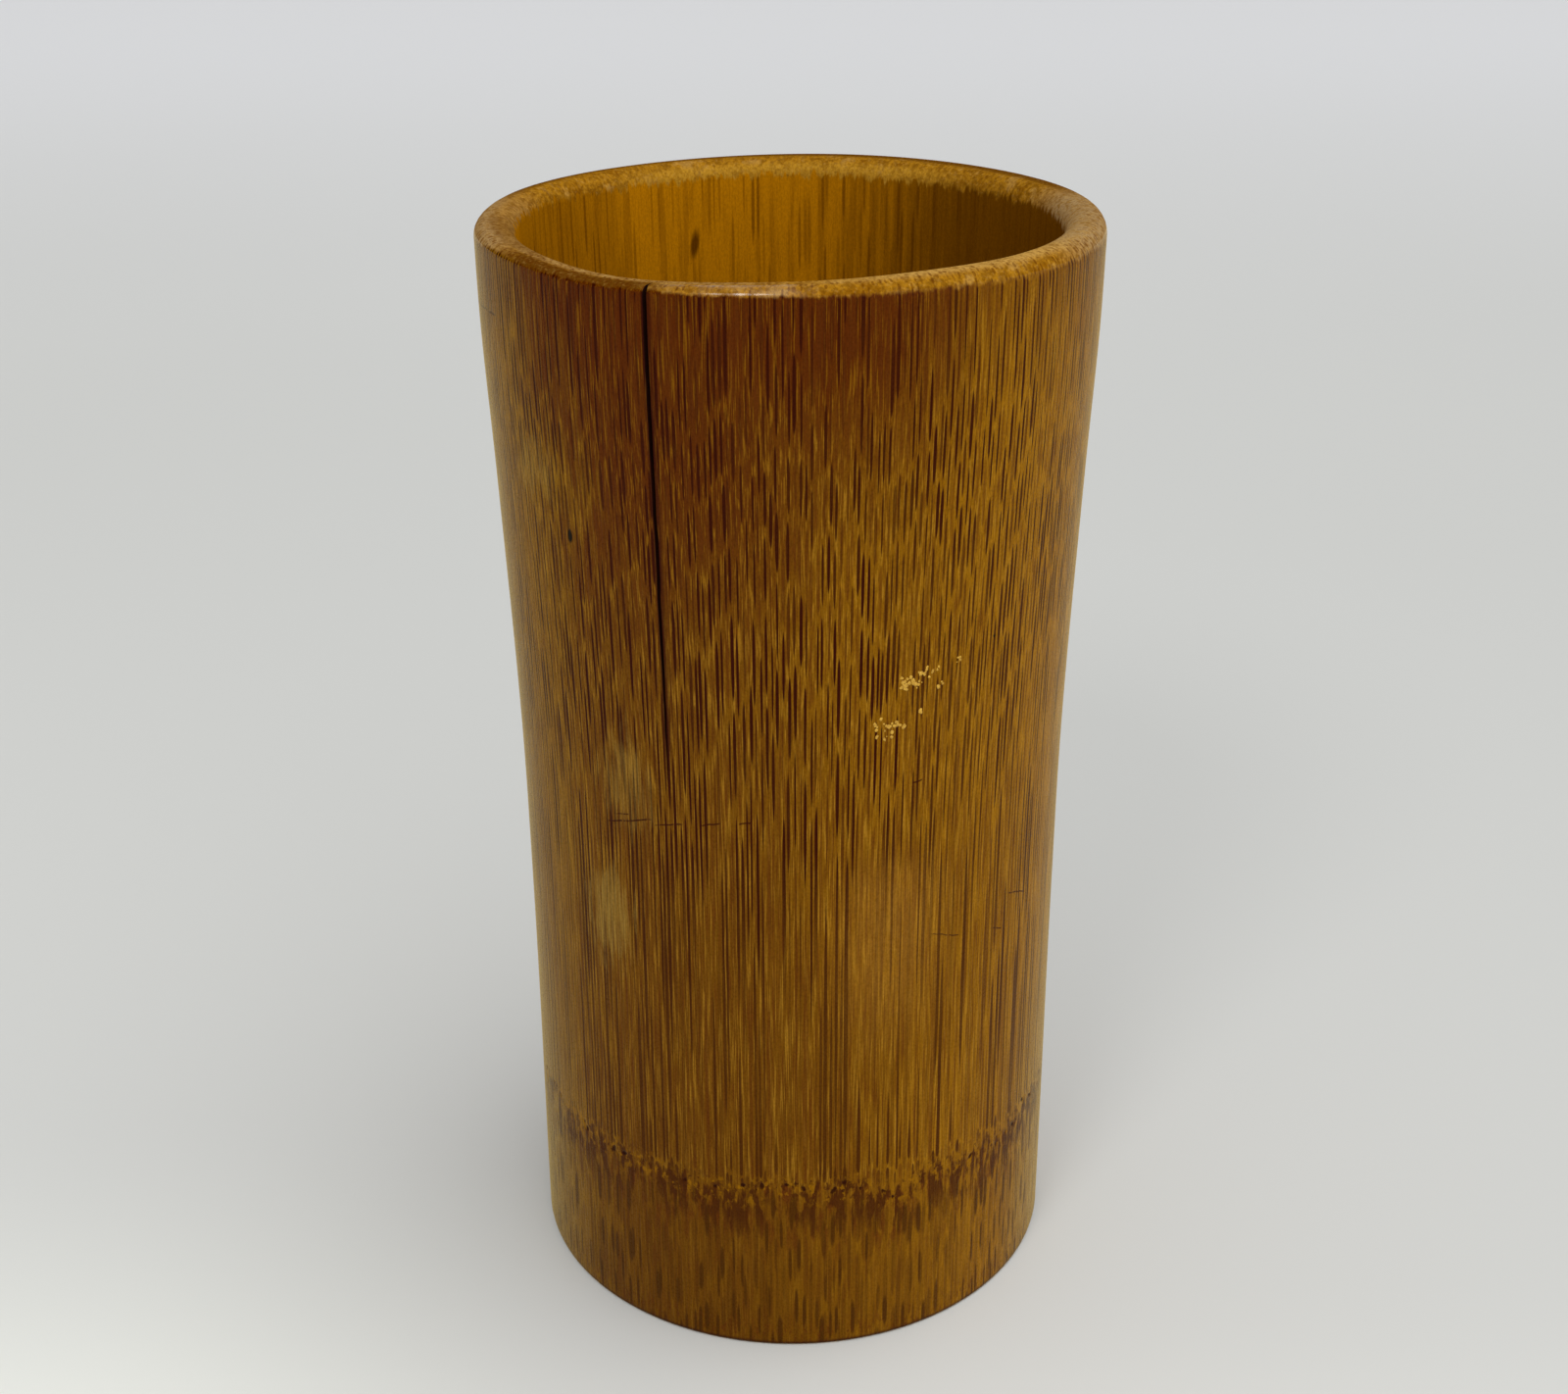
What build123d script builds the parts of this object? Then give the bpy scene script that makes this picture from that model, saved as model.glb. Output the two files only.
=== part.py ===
"""A cup turned from one length of thick bamboo culm.

The culm grew in two members. The wall is the tube, which runs unbroken from the foot, past the node, to
the rim. The floor is the septum, the thin plate that the plant grows across the tube at each node. The
two are solids of their own here and meet face to face on a round seat. Nothing on the cup moves.

Millimetres and degrees, +Z up, with the origin at the middle of the ring that the cup stands on. The
front of the cup faces -Y.
"""

import os
from math import cos, pi

from build123d import *

# Whole cup, narrowed at the waist by turning
cup_height = 163.5
rim_radius = 43.0
waist_narrowing = 2.35
foot_swell = 0.25

# The straight waist, as shares of the cup's height
waist_start_share = 0.40
waist_end_share = 0.46

# Wall, turned thinner towards the mouth
mouth_wall = 5.4
node_wall = 6.0

# Rim, sawn a little out of square, higher at the right and at the back
rim_rise_to_right = 0.56
rim_rise_to_back = 0.75

# Rounding of the lip, as shares of the wall at the mouth
lip_outer_round_share = 0.28
lip_inner_round_share = 0.50

# Scar of the leaf sheath round the node, sanded almost flush
scar_height = 29.0
scar_width = 0.7
scar_depth = 0.25

# Floor, dished in the middle and thickened where it grows into the wall
floor_above_scar = 4.0
floor_dish = 1.3
floor_middle_thickness = 3.4
floor_edge_thickness = 5.0
upper_flare_width = 5.0
upper_flare_height = 3.0
lower_flare_width = 4.0
lower_flare_height = 2.4

# Foot, the hollow stub below the node
foot_edge_round = 0.6
foot_bore_chamfer = 0.8

# Drying split, which runs out down the front left of the wall
split_direction = -114.0
split_length = 64.0
split_width = 0.6
split_depth = 2.4
split_tip_width = 0.06

# How far a cutting shape runs past what it cuts
overrun = 4.0

# Places of the points on the outline's curves, as shares of each curve's height
wall_curve_shares = (0, 0.2, 0.4, 0.55, 0.7, 0.85, 1)
bore_curve_shares = (0, 0.25, 0.5, 0.75, 1)

waist_radius = rim_radius - waist_narrowing
waist_start = waist_start_share * cup_height
waist_end = waist_end_share * cup_height
floor_height = scar_height + floor_above_scar
underside_height = floor_height - floor_edge_thickness
seat_top = floor_height + upper_flare_height
seat_bottom = underside_height - lower_flare_height
seat_radius = waist_radius - node_wall


def eased(share):
    """Rises smoothly from 0 to 1 with the share, and stays there on both sides."""
    return (1 - cos(pi * min(max(share, 0), 1))) / 2


def outside_radius(height):
    """The turned outside: a straight waist that swells to the foot and flares to the rim."""
    swell = foot_swell * eased(1 - height / waist_start)
    flare = waist_narrowing * eased((height - waist_end) / (cup_height - waist_end))
    return waist_radius + swell + flare


def bore_radius(height):
    """The hollow above the floor, straight at first, then wider as the wall flares and thins."""
    mouth_radius = rim_radius - mouth_wall
    widening = eased((height - waist_end) / (cup_height - waist_end))
    return seat_radius + (mouth_radius - seat_radius) * widening


def curve_points(radius_at, bottom, top, shares):
    """Points of a turned curve, from its bottom to its top."""
    heights = [bottom + share * (top - bottom) for share in shares]
    return [(radius_at(height), height) for height in heights]


# Wall, with its scar, lip, foot and split
with BuildPart() as culm_wall:
    with BuildSketch(Plane.XZ):
        with BuildLine():
            outside = Spline(
                *curve_points(outside_radius, 0, cup_height, wall_curve_shares),
                tangents=((0, 1), (0, 1)),
            )
            bore = Spline(
                *curve_points(bore_radius, waist_end, cup_height, bore_curve_shares),
                tangents=((0, 1), (0, 1)),
            )
            Polyline(
                outside @ 1,
                (rim_radius, cup_height + overrun),
                (rim_radius - mouth_wall, cup_height + overrun),
                bore @ 1,
            )
            Polyline(bore @ 0, (seat_radius, 0), outside @ 0)
        make_face()
    revolve(axis=Axis.Z)

    scar_surface = outside_radius(scar_height)
    with BuildSketch(Plane.XZ):
        with BuildLine():
            Polyline(
                (scar_surface - scar_depth, scar_height),
                (scar_surface + scar_depth, scar_height - scar_width),
                (scar_surface + scar_depth, scar_height + scar_width),
                close=True,
            )
        make_face()
    revolve(axis=Axis.Z, mode=Mode.SUBTRACT)

    rim_plane = Plane.XY.offset(cup_height).rotated((rim_rise_to_back, -rim_rise_to_right, 0))
    split(bisect_by=rim_plane, keep=Keep.BOTTOM)
    rim_face = culm_wall.faces().filter_by(GeomType.PLANE).sort_by(Axis.Z)[-1]
    fillet(rim_face.outer_wire().edges(), lip_outer_round_share * mouth_wall)
    rim_face = culm_wall.faces().filter_by(GeomType.PLANE).sort_by(Axis.Z)[-1]
    fillet(rim_face.inner_wires()[0].edges(), lip_inner_round_share * mouth_wall)

    standing_face = culm_wall.faces().filter_by(GeomType.PLANE).sort_by(Axis.Z)[0]
    fillet(standing_face.outer_wire().edges(), foot_edge_round)
    standing_face = culm_wall.faces().filter_by(GeomType.PLANE).sort_by(Axis.Z)[0]
    chamfer(standing_face.inner_wires()[0].edges(), foot_bore_chamfer)

    # The split's deepest line is straight and comes out of the flaring wall at the split's tip.
    tip_height = cup_height - split_length
    deepest_line = (
        (cup_height + overrun, rim_radius - split_depth, split_width),
        (tip_height, outside_radius(tip_height), split_tip_width),
    )
    for height, bottom_of_split, width in deepest_line:
        mouth_of_split = rim_radius + overrun
        half_mouth = width / 2 * (mouth_of_split - bottom_of_split) / split_depth
        with BuildSketch(Plane.XY.offset(height).rotated((0, 0, split_direction))):
            with BuildLine():
                Polyline(
                    (bottom_of_split, 0),
                    (mouth_of_split, half_mouth),
                    (mouth_of_split, -half_mouth),
                    close=True,
                )
            make_face()
    loft(ruled=True, mode=Mode.SUBTRACT)

# Floor, flared on both faces where it grows into the wall
with BuildPart() as node_floor:
    with BuildSketch(Plane.XZ):
        with BuildLine():
            top_middle = floor_height - floor_dish
            bottom_middle = top_middle - floor_middle_thickness
            dish = TangentArc(
                (0, top_middle), (seat_radius - upper_flare_width, floor_height), tangent=(1, 0)
            )
            upper_flare = TangentArc(dish @ 1, (seat_radius, seat_top), tangent=dish % 1)
            underside = TangentArc(
                (0, bottom_middle), (seat_radius - lower_flare_width, underside_height), tangent=(1, 0)
            )
            lower_flare = TangentArc(underside @ 1, (seat_radius, seat_bottom), tangent=underside % 1)
            Line(upper_flare @ 1, lower_flare @ 1)
            Line(dish @ 0, underside @ 0)
        make_face()
    revolve(axis=Axis.Z)

os.makedirs("parts", exist_ok=True)
culm_wall.part.label = "culm_wall"
export_step(culm_wall.part, "parts/culm_wall.step")
node_floor.part.label = "node_floor"
export_step(node_floor.part, "parts/node_floor.step")

print("bore at the mouth", round(bore_radius(cup_height), 2), "bore at the floor", round(seat_radius, 2))
print("floor margin from", round(seat_bottom, 2), "to", round(seat_top, 2))
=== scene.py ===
import math
import random
from functools import reduce
from types import SimpleNamespace

import bpy
import numpy as np
from bpy.props import FloatProperty, FloatVectorProperty, IntProperty, PointerProperty
from mathutils import Matrix, Vector


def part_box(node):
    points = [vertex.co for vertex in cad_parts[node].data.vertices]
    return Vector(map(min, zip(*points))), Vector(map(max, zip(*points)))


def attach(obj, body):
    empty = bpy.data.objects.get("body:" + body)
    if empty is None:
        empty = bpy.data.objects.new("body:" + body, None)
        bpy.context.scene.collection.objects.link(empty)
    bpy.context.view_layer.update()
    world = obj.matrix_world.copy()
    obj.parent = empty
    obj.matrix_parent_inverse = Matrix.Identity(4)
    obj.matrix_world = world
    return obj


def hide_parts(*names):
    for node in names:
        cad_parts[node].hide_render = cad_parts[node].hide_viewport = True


bl_info = {
    "name": "Turned Bamboo Cup",
    "version": (1, 0, 0),
    "blender": (4, 5, 0),
    "location": "3D View > Sidebar > Bamboo Cup",
    "description": "Models a cup turned from bamboo culm, its septum floor and the flecks dried on it",
    "category": "Add Mesh",
}

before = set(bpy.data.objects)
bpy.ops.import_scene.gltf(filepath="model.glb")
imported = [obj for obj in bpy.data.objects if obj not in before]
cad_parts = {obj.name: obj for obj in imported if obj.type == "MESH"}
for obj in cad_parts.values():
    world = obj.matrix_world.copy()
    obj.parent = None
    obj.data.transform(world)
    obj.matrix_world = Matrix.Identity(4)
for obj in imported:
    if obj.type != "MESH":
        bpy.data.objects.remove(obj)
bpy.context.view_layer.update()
WALL_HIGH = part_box("culm_wall")[1]
FLOOR_LOW, FLOOR_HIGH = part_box("node_floor")

MM = 0.001
FULL_TURN = 2 * math.pi
WELD = 0.002 * MM


def linear(*screen_values):
    """A colour given as eight-bit screen values, as the linear values that shaders take."""
    shares = [value / 255 for value in screen_values]
    return tuple(s / 12.92 if s <= 0.04045 else ((s + 0.055) / 1.055) ** 2.4 for s in shares)


def length_setting(name, description, default):
    """A size in metres, shown in the scene's own unit."""
    return FloatProperty(
        name=name, description=description, default=default, subtype="DISTANCE", unit="LENGTH", precision=5
    )


def angle_setting(name, description, degrees):
    """An angle, given in degrees and kept in radians."""
    return FloatProperty(
        name=name, description=description, default=math.radians(degrees), subtype="ANGLE", unit="ROTATION"
    )


def colour_setting(name, description, *screen_values):
    """A colour, given as eight-bit screen values."""
    return FloatVectorProperty(
        name=name,
        description=description,
        default=linear(*screen_values),
        size=3,
        subtype="COLOR",
        min=0,
        max=1,
    )


class CupWallSettings(bpy.types.PropertyGroup):
    cup_height: length_setting("Cup Height", "Height of the rim over the middle of the cup", 163.5 * MM)
    rim_radius: length_setting("Rim Radius", "Outer radius of the flare", WALL_HIGH.x + 0.1 * MM)
    rim_spread: length_setting("Rim Spread", "The last widening, under the lip", 0.32 * MM)
    waist_narrowing: length_setting("Waist Narrowing", "How much less the waist's radius is", 2.35 * MM)
    foot_swell: length_setting("Foot Swell", "How much wider the foot is than the waist", 0.25 * MM)
    mouth_wall: length_setting("Mouth Wall", "Thickness of the wall at the rim", 5.4 * MM)
    seat_radius: length_setting("Seat Radius", "Inner radius at the floor", FLOOR_HIGH.x)
    rise_to_right: angle_setting("Rise To Right", "Slope of the rim upwards to the right", 0.56)
    rise_to_back: angle_setting("Rise To Back", "Slope of the rim upwards to the back", 0.75)
    lip_round: length_setting("Lip Round", "Mean outer rounding of the lip", 1.9 * MM)
    lip_round_change: length_setting("Lip Round Change", "How the outer rounding varies", 0.8 * MM)
    lip_inner_round: length_setting("Lip Inner Round", "Inner rounding of the lip", 2.7 * MM)
    lip_wear: length_setting("Lip Wear", "Depth of the worn dip at the front left", 0.65 * MM)
    saw_slip: length_setting("Saw Slip", "How high the rim stands off its plane at the left", 0.6 * MM)
    foot_round: length_setting("Foot Round", "Rounding of the foot's outer edge", 0.6 * MM)
    foot_bore_chamfer: length_setting("Foot Chamfer", "Chamfer inside the foot", 0.8 * MM)
    hand_error: length_setting("Hand Error", "How far the turning is from a true round", 0.1 * MM)
    steps: IntProperty(name="Steps", description="Faces in one turn of the wall", default=400, min=64)


class ScarSettings(bpy.types.PropertyGroup):
    height: length_setting("Scar Height", "Mean height of the leaf sheath's scar", 28.9 * MM)
    sway: length_setting("Sway", "How far the scar's line goes up and down", 1.1 * MM)
    pit_depth: length_setting("Pit Depth", "Depth of the deepest pits in the scar", 0.28 * MM)
    pit_radius: length_setting("Pit Radius", "Radius of the largest pits", 0.62 * MM)
    pits: IntProperty(name="Pits", description="Pits round the whole scar", default=120, min=0)


class SplitSettings(bpy.types.PropertyGroup):
    direction: angle_setting("Direction", "Where the drying split is, from the right", -114.1)
    length: length_setting("Length", "How far down the wall the split runs", 70 * MM)
    width: length_setting("Width", "Width of the split at the rim", 0.62 * MM)
    depth: length_setting("Depth", "Depth of the split at the rim", 2.4 * MM)


class CupFloorSettings(bpy.types.PropertyGroup):
    dish: length_setting("Dish", "How far the middle of the floor is dished", 1.3 * MM)
    middle_thickness: length_setting("Middle", "Thickness of the floor's middle", 3.4 * MM)
    edge_thickness: length_setting("Edge", "Thickness of the floor near the wall", 5.0 * MM)
    upper_flare: length_setting("Upper Flare", "Width of the flare above the floor", 5.0 * MM)
    upper_flare_height: length_setting("Upper Flare Height", "Height of that flare", 3.0 * MM)
    lower_flare: length_setting("Lower Flare", "Width of the flare below the floor", 4.0 * MM)
    wrinkle: length_setting("Wrinkle", "Height of the wrinkles in the septum", 0.22 * MM)


class FleckSettings(bpy.types.PropertyGroup):
    crumb: length_setting("Crumb", "Width of a middling crumb", 0.56 * MM)
    thickness: length_setting("Thickness", "How far a crumb stands out", 0.14 * MM)


class BambooSettings(bpy.types.PropertyGroup):
    deep_wood: colour_setting("Deep Wood", "Brown ground near the skin", 103, 63, 3)
    red_wood: colour_setting("Red Wood", "Red brown ground at the top of the front", 77, 29, 0)
    golden_wood: colour_setting("Golden Wood", "Ground deeper in the wall", 145, 97, 3)
    olive_wood: colour_setting("Olive Wood", "Duller ground on the left", 127, 87, 8)
    streak: colour_setting("Streak", "Dark sheath of a fibre bundle", 50, 10, 0)
    light_line: colour_setting("Light Line", "Thin pale fibres beside the streaks", 178, 130, 36)
    # Worn is also laid low on both sides of the foot as painted light.
    worn: colour_setting("Worn", "Dull rubbed patches on the left", 146, 114, 48)
    lip: colour_setting("Lip", "Worn end grain of the lip", 162, 112, 22)
    lip_shade: colour_setting("Lip Shade", "Darker mottling of the lip", 130, 86, 14)
    frost: colour_setting("Frost", "Rubbed parts of the lip", 190, 148, 76)
    olive_frost: colour_setting("Olive Frost", "Dull parts of the lip on both sides", 160, 130, 86)
    # Lip Edge is a brown stain at the front left of the lip and painted shade along its back edge.
    lip_stain_and_painted_shade: colour_setting("Lip Edge", "Brown edge of the lip at the front left and the back", 92, 54, 8)
    bore: colour_setting("Bore", "Inside of the cup", 176, 114, 4)
    # Bore Shade is painted shade on the right of the bore and darkens a patch at its back left; it is also
    # the brown of the low streaks and of the dashes on the foot.
    brown_and_painted_bore_shade: colour_setting("Bore Shade", "Darker inside, on the right", 84, 47, 2)
    bore_streak: colour_setting("Bore Streak", "Soft streaks inside the cup", 118, 70, 2)
    scar: colour_setting("Scar", "Red brown dashes and weaker bundles", 88, 42, 4)
    septum: colour_setting("Septum", "Papery face of the floor", 170, 124, 58)
    flesh: colour_setting("Flesh", "Raw wood inside the foot", 188, 150, 88)
    fleck: colour_setting("Fleck", "Dried flecks", 208, 162, 46)


class StageSettings(bpy.types.PropertyGroup):
    camera_distance: length_setting("Camera Distance", "From the cup's axis, level", 288.7 * MM)
    camera_height: length_setting("Camera Height", "Above the floor", 220.3 * MM)
    camera_pitch: angle_setting("Camera Pitch", "How far the camera looks down", 24.31)
    camera_shift: FloatProperty(name="Camera Shift", description="Share of the width", default=-0.0049)
    camera_roll: angle_setting("Camera Roll", "Tilt of the camera", -0.163)
    lens: FloatProperty(name="Lens", description="Focal length in millimetres", default=47.67)
    floor_colour: colour_setting("Floor Colour", "The pale floor", 214, 215, 212)
    world_strength: FloatProperty(name="World", description="Strength of the even light", default=0.52)
    window_strength: FloatProperty(name="Window", description="Strength of the window", default=1.75)
    window_softness: angle_setting("Window Softness", "How wide the window looks from the cup", 105)
    lamp_power: FloatProperty(name="Lamp", description="Watts of the lamp over the camera", default=0.75)


SETTINGS = {
    "cup_wall": CupWallSettings,
    "cup_scar": ScarSettings,
    "cup_split": SplitSettings,
    "cup_floor": CupFloorSettings,
    "cup_flecks": FleckSettings,
    "cup_bamboo": BambooSettings,
    "cup_stage": StageSettings,
}


# Shape of the cup

# The straight waist, as shares of the cup's height, and the last widening, under the lip
WAIST_START = 0.40
WAIST_END = 0.46
SPREAD_START = 0.78
SPREAD_RISE = 0.16

# How far above and below its mean height the scar's pits reach
SCAR_REACH = 6 * MM

# Faces and vertices this far out from the bore belong to the wall's outer side
OUTER_MARGIN = 2 * MM


def eased(share):
    """Rises smoothly from 0 to 1 with the share, and stays there on both sides."""
    return (1 - np.cos(np.pi * np.clip(share, 0, 1))) / 2


def bump(distance, width):
    """A soft hump, 1 in the middle and almost 0 two widths away."""
    return np.exp(-((distance / width) ** 2))


def turned_apart(direction, other):
    """The angle from one direction to another, the short way round."""
    return (direction - other + np.pi) % FULL_TURN - np.pi


def hump_at(direction, middle, width):
    """A soft hump round the axis, with its middle and its width in degrees."""
    return bump(turned_apart(direction, math.radians(middle)), math.radians(width))


def above_waist(wall, height):
    """Rises smoothly from 0 at the top of the waist to 1 at the rim."""
    waist_end = WAIST_END * wall.cup_height
    return eased((height - waist_end) / (wall.cup_height - waist_end))


def outside_radius(wall, height):
    """The turned outside: a straight waist that swells to the foot, flares and spreads at the rim."""
    waist = wall.rim_radius - wall.waist_narrowing
    swell = wall.foot_swell * eased(1 - height / (WAIST_START * wall.cup_height))
    flare = wall.waist_narrowing * above_waist(wall, height)
    spread = wall.rim_spread * eased((height / wall.cup_height - SPREAD_START) / SPREAD_RISE)
    return waist + swell + flare + spread


def bore_radius(wall, height):
    """The inside, straight above the floor, then wider as the wall flares and thins."""
    widening = wall.rim_radius - wall.mouth_wall - wall.seat_radius
    return wall.seat_radius + widening * above_waist(wall, height)


def hand_error(wall, direction, height):
    """The slow unevenness that hand sanding leaves on a turned wall."""
    rise = height / wall.cup_height
    waves = np.sin(3 * direction + 5 * rise) + 0.6 * np.sin(5 * direction - 7 * rise + 1.3)
    return wall.hand_error * waves * np.sin(np.pi * np.clip(rise, 0, 1))


def rim_height(wall, direction):
    """The rim, sawn out of square and worn down at the front left."""
    rise = np.tan(wall.rise_to_right) * np.cos(direction) + np.tan(wall.rise_to_back) * np.sin(direction)
    dip = wall.lip_wear * hump_at(direction, -122, 20)
    crest = 0.4 * wall.lip_wear * hump_at(direction, -64, 16)
    left = wall.saw_slip * hump_at(direction, 166, 36)
    right = 0.45 * wall.saw_slip * hump_at(direction, 40, 30)
    return wall.cup_height + wall.rim_radius * rise - dip + crest + left - right


def lip_round(wall, direction):
    """The outer rounding of the lip, tight at the front left and wide at the front right."""
    return wall.lip_round + wall.lip_round_change * np.cos(2 * (direction + math.radians(35)))


def scar_height(scar, direction):
    """The uneven line of the scar round the foot."""
    slow = 0.55 * np.sin(2 * direction + 0.4) + 0.35 * np.sin(5 * direction + 2.1)
    quick = 0.3 * np.sin(11 * direction) + 0.2 * np.sin(23 * direction + 1)
    dip = 1.6 * hump_at(direction, -68, 6)
    return scar.height + scar.sway * (slow + quick - dip)


def scar_band(scar):
    """The lowest and the highest place of the band that the scar's line stays in."""
    return scar.height - 4.5 * MM, scar.height + 3.5 * MM


def scar_pits(scar):
    """Direction, height, radius, depth, length and lean of each pit in the scar."""
    draw = random.Random(41)
    pits = []
    for index in range(scar.pits):
        direction = FULL_TURN * (index + draw.uniform(-0.8, 0.8)) / scar.pits
        height = float(scar_height(scar, direction)) + draw.gauss(0, 0.7) * MM
        size = draw.uniform(0.4, 1)
        depth = scar.pit_depth * size * draw.uniform(0.2, 1)
        length = draw.uniform(0.5, 1.9)
        lean = draw.uniform(-0.7, 0.7)
        pits.append((direction, height, scar.pit_radius * size, depth, length, lean))
    return pits


def pit_depth(pits, radius, direction, height):
    """How deep the scar's pits go at each place."""
    depth = np.zeros_like(height)
    for pit_direction, pit_height, pit_radius, deepest, length, lean in pits:
        rise = height - pit_height
        across = radius * turned_apart(direction, pit_direction) - lean * rise
        depth = np.maximum(depth, deepest * bump(np.hypot(across, rise / length), pit_radius * 0.75))
    return depth


def arc_points(centre_radius, centre_height, size, start, end, count):
    """Points on a quarter round, for every direction at once."""
    angles = np.radians(np.linspace(start, end, count))
    return [(centre_radius + size * np.cos(a), centre_height + size * np.sin(a)) for a in angles]


def wall_outline(wall, scar, direction):
    """The wall's closed outline in each direction: up the outside, over the lip and down the bore."""
    level = np.ones_like(direction)
    top = rim_height(wall, direction)
    outer = lip_round(wall, direction)
    inner = wall.lip_inner_round
    edge = wall.foot_round
    flat_end = outside_radius(wall, 0) - edge
    flat = [wall.seat_radius + wall.foot_bore_chamfer]
    flat += [*np.linspace(wall.seat_radius + 2.4 * MM, flat_end, 3)]
    points = [(level * radius, 0 * level) for radius in flat]
    points += arc_points(level * flat_end, level * edge, edge, -60, 0, 3)

    low, high = scar_band(scar)
    last = wall.cup_height - 4 * MM
    heights = [*np.linspace(2 * edge, low, 12)]
    heights += [*np.linspace(low, high, 18)[1:], *np.linspace(high, last, 58)[1:]]
    for height in heights:
        points.append((outside_radius(wall, height) + hand_error(wall, direction, height), level * height))
    for share in (0.5, 1):
        height = last + (top - outer - last) * share
        points.append((outside_radius(wall, height), height))

    lip_radius = outside_radius(wall, top)
    points += arc_points(lip_radius - outer, top - outer, outer, 12, 90, 8)
    mouth = bore_radius(wall, top)
    for share in (0.33, 0.67):
        points.append((lip_radius - outer + share * (mouth + inner - lip_radius + outer), top))
    points += arc_points(mouth + inner, top - inner, inner, 90, 180, 9)
    for share in np.linspace(0, 1, 30)[1:]:
        height = (top - inner) * (1 - share) + wall.foot_bore_chamfer * share
        points.append((bore_radius(wall, height), height))
    return np.array([p[0] * level for p in points]), np.array([p[1] * level for p in points])


def floor_outline(floor, wall, radius_steps):
    """The septum's outline from the middle of its top, over the edge, to the middle of its underside."""
    seat = wall.seat_radius + 0.05 * MM
    rest = FLOOR_HIGH.z - floor.upper_flare_height
    under = rest - floor.edge_thickness
    middle = rest - floor.dish - floor.middle_thickness
    top, bottom = [], []
    for share in np.linspace(0, 1, radius_steps):
        radius = share * seat
        flat = min(share * seat / (seat - floor.upper_flare), 1)
        flare = max((radius - seat + floor.upper_flare) / floor.upper_flare, 0)
        top.append((radius, rest - floor.dish * (1 - flat ** 2) + floor.upper_flare_height * flare ** 2))
        flare = max((radius - seat + floor.lower_flare) / floor.lower_flare, 0)
        bottom.append((radius, middle + (under - middle) * flat ** 2 - (under - FLOOR_LOW.z) * flare ** 2))
    return top + bottom[::-1]


# Modelling by hand

def deselect_all():
    if bpy.context.object and bpy.context.object.mode != "OBJECT":
        bpy.ops.object.mode_set(mode="OBJECT")
    bpy.ops.object.select_all(action="DESELECT")


def make_active(piece):
    deselect_all()
    piece.select_set(True)
    bpy.context.view_layer.objects.active = piece


def edit_all():
    """Opens the active object for modelling, with everything in it selected."""
    bpy.ops.object.mode_set(mode="EDIT")
    bpy.ops.mesh.select_all(action="SELECT")


def face_outwards():
    """Turns all faces of the open object outwards and closes it."""
    bpy.ops.mesh.select_all(action="SELECT")
    bpy.ops.mesh.normals_make_consistent(inside=False)
    bpy.ops.object.mode_set(mode="OBJECT")


def read_places(piece):
    """The piece's vertices, as an array with one row each."""
    places = np.empty(len(piece.data.vertices) * 3)
    piece.data.vertices.foreach_get("co", places)
    return places.reshape(-1, 3)


def write_places(piece, places):
    piece.data.vertices.foreach_set("co", places.ravel())
    piece.data.update()


def round_axis(places):
    """How far each place is from the axis, and in which direction."""
    return np.hypot(places[:, 0], places[:, 1]), np.arctan2(places[:, 1], places[:, 0])


def facing(direction):
    """The unit vectors outwards and sideways in a direction from the axis."""
    outward = Vector((math.cos(direction), math.sin(direction), 0))
    return outward, Vector((-outward.y, outward.x, 0))


def number_rings(piece, points):
    """Keeps which point of the profile each vertex is, as Blender may number the first ones otherwise."""
    places = read_places(piece)
    drawn = np.array(points)
    gaps = np.hypot(places[:, 0, None] - drawn[:, 0], places[:, 2, None] - drawn[:, 1])
    ring = piece.data.attributes.new("ring", "INT", "POINT")
    ring.data.foreach_set("value", gaps.argmin(axis=1).astype(np.int32))


def drawn_profile(name, points):
    """A chain of edges through points (radius, height) on the right of the axis, extruded one by one."""
    deselect_all()
    bpy.ops.mesh.primitive_plane_add(size=MM)
    piece = bpy.context.object
    piece.name = piece.data.name = name
    edit_all()
    bpy.ops.mesh.merge(type="CENTER")
    bpy.ops.transform.translate(value=(points[0][0], 0, points[0][1]))
    for (radius, height), (next_radius, next_height) in zip(points, points[1:]):
        step = (next_radius - radius, 0, next_height - height)
        bpy.ops.mesh.extrude_vertices_move(TRANSFORM_OT_translate={"value": step})
    bpy.ops.object.mode_set(mode="OBJECT")
    number_rings(piece, points)
    return piece


def close_profile(piece):
    """Joins the two ends of a drawn profile with an edge."""
    for vertex in piece.data.vertices:
        vertex.select = vertex.index in (0, len(piece.data.vertices) - 1)
    for edge in piece.data.edges:
        edge.select = False
    bpy.ops.object.mode_set(mode="EDIT")
    bpy.ops.mesh.edge_face_add()
    bpy.ops.object.mode_set(mode="OBJECT")


def spin_profile(steps):
    """Spins the drawn profile once round the axis and closes the seam and any pole."""
    edit_all()
    bpy.ops.mesh.spin(steps=steps, angle=FULL_TURN, center=(0, 0, 0), axis=(0, 0, 1))
    bpy.ops.mesh.select_all(action="SELECT")
    bpy.ops.mesh.remove_doubles(threshold=WELD)
    face_outwards()


def write_mask(piece, name, values):
    """Keeps one number for each vertex, for a material to read."""
    layer = piece.data.attributes.new(name, "FLOAT", "POINT")
    layer.data.foreach_set("value", np.asarray(values, dtype=np.float32))


def smooth_piece(piece, degrees):
    make_active(piece)
    bpy.ops.object.shade_smooth_by_angle(angle=math.radians(degrees))


def finish_piece(piece, material_slot, *replaced):
    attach(piece, "root")
    if replaced:
        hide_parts(*replaced)


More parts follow.
